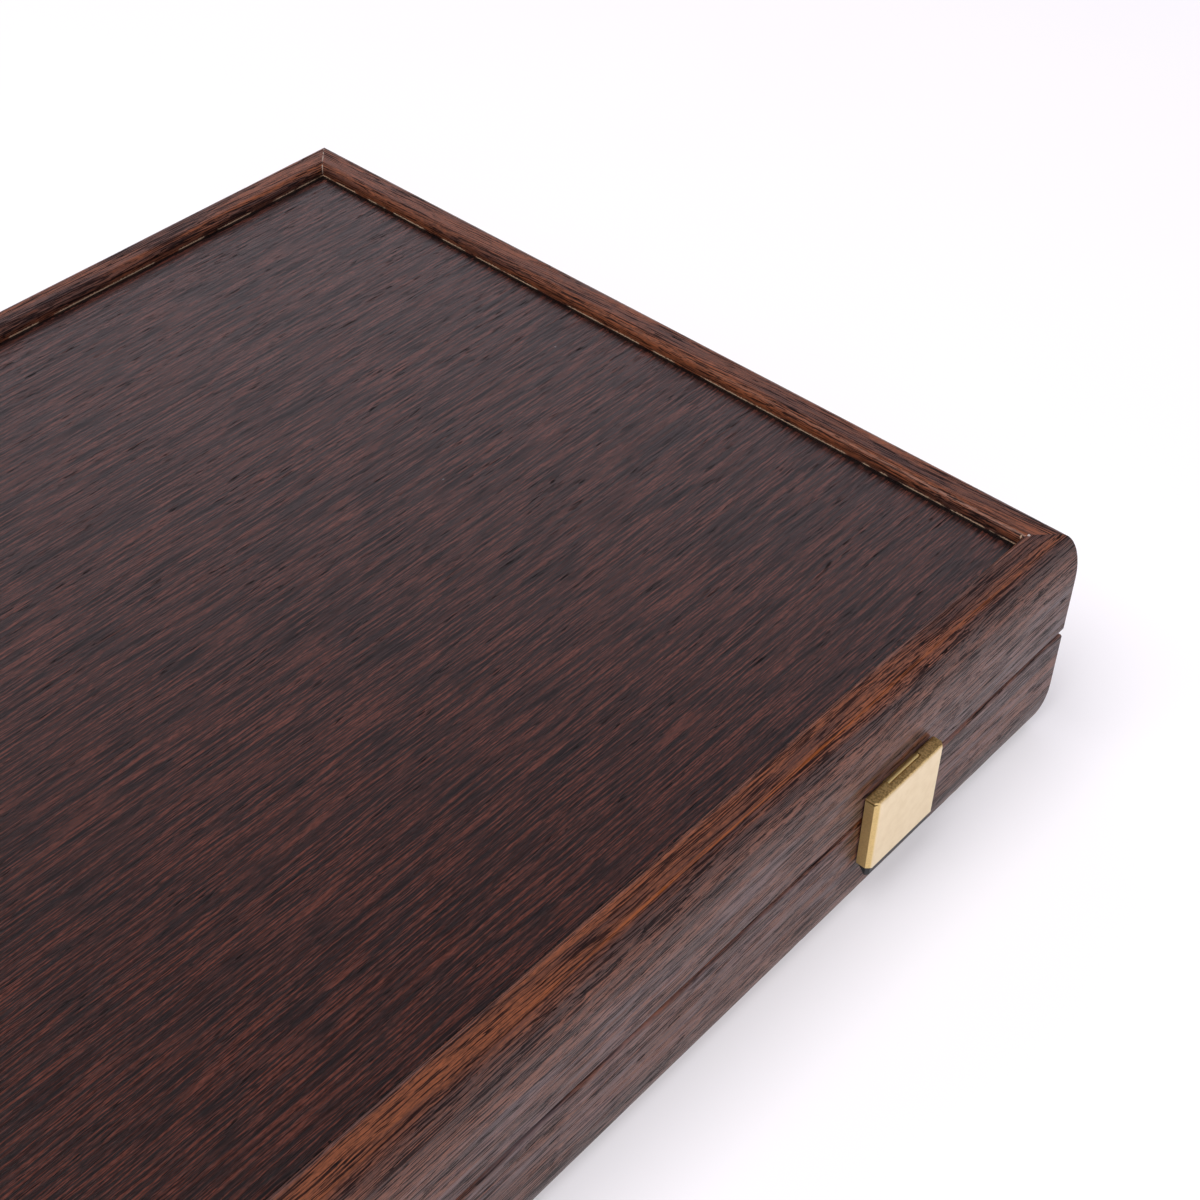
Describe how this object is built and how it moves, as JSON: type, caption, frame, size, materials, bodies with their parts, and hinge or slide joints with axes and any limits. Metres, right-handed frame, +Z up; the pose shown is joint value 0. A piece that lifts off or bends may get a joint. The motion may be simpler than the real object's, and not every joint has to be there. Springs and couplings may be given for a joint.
{
  "type": "backgammon board",
  "caption": "Folding wooden backgammon case with mitred rounded rails round recessed veneer panels, a hinged upper half, front flip clasps, and playing fields, checkers and dice inside.",
  "frame": {"origin": "bottom centre of the whole outline, hardware included, on the surface the case stands on", "axes": "+X along the long side to the right, -Y out of the front with the clasps, +Y out of the hinged back, +Z up"},
  "size_m": [0.48, 0.2664, 0.063],
  "materials": {
    "rail_wood": "satin oiled, coarse straight grain",
    "panel_veneer": "satin lacquered, fine straight grain",
    "field_veneer": "satin lacquered",
    "dark_inlay": "satin lacquered",
    "light_inlay": "satin lacquered",
    "light_checker": "satin turned wood",
    "dark_checker": "satin turned wood",
    "die": "polished",
    "hardware_brass": "satin brushed",
    "screw_brass": "satin",
    "clasp_insert": "moulded black"
  },
  "bodies": {
    "base": {"lower_back_rail": "rail_wood", "lower_dark_points": "dark_inlay", "lower_field": "field_veneer", "lower_front_rail": "rail_wood", "lower_left_rail": "rail_wood", "lower_light_points": "light_inlay", "lower_panel": "panel_veneer", "lower_right_rail": "rail_wood", "left_hinge_lower_leaf": "hardware_brass", "left_hinge_lower_screws": "screw_brass", "left_hinge_pin": "hardware_brass", "left_keeper": "hardware_brass", "left_keeper_screws": "screw_brass", "right_hinge_lower_leaf": "hardware_brass", "right_hinge_lower_screws": "screw_brass", "right_hinge_pin": "hardware_brass", "right_keeper": "hardware_brass", "right_keeper_screws": "screw_brass"},
    "lid": {"upper_back_rail": "rail_wood", "upper_dark_points": "dark_inlay", "upper_field": "field_veneer", "upper_front_rail": "rail_wood", "upper_left_rail": "rail_wood", "upper_light_points": "light_inlay", "upper_panel": "panel_veneer", "upper_right_rail": "rail_wood", "left_hinge_upper_leaf": "hardware_brass", "left_hinge_upper_screws": "screw_brass", "left_clasp_leaf": "hardware_brass", "left_clasp_screws": "screw_brass", "right_hinge_upper_leaf": "hardware_brass", "right_hinge_upper_screws": "screw_brass", "right_clasp_leaf": "hardware_brass", "right_clasp_screws": "screw_brass"},
    "light_checkers": {"light_checkers_1": "light_checker", "light_checkers_2": "light_checker", "light_checkers_3": "light_checker", "light_checkers_4": "light_checker", "light_checkers_5": "light_checker"},
    "dark_checkers": {"dark_checkers_1": "dark_checker", "dark_checkers_2": "dark_checker", "dark_checkers_3": "dark_checker", "dark_checkers_4": "dark_checker", "dark_checkers_5": "dark_checker"},
    "dice": {"die_1": "die", "die_2": "die"},
    "left_clasp": {"left_clasp_cover": "hardware_brass", "left_clasp_insert": "clasp_insert", "left_clasp_pin": "hardware_brass"},
    "right_clasp": {"right_clasp_cover": "hardware_brass", "right_clasp_insert": "clasp_insert", "right_clasp_pin": "hardware_brass"}
  },
  "joints": [
    {"name": "lid_hinge", "type": "hinge", "parent": "base", "child": "lid", "pos_m": [0, 0.13092, 0.0315], "axis": [-1, 0, 0], "range_deg": [0, 180]},
    {"name": "left_clasp_hinge", "type": "hinge", "parent": "lid", "child": "left_clasp", "pos_m": [-0.1718, -0.13032, 0.039], "axis": [-1, 0, 0], "range_deg": [0, 85]},
    {"name": "right_clasp_hinge", "type": "hinge", "parent": "lid", "child": "right_clasp", "pos_m": [0.1718, -0.13032, 0.039], "axis": [-1, 0, 0], "range_deg": [0, 85]},
    {"name": "light_checkers_lift", "type": "slide", "parent": "base", "child": "light_checkers", "axis": [0, 0, 1], "range_m": [0, 0.02]},
    {"name": "dark_checkers_lift", "type": "slide", "parent": "base", "child": "dark_checkers", "axis": [0, 0, 1], "range_m": [0, 0.02]},
    {"name": "dice_lift", "type": "slide", "parent": "base", "child": "dice", "axis": [0, 0, 1], "range_m": [0, 0.02]}
  ]
}
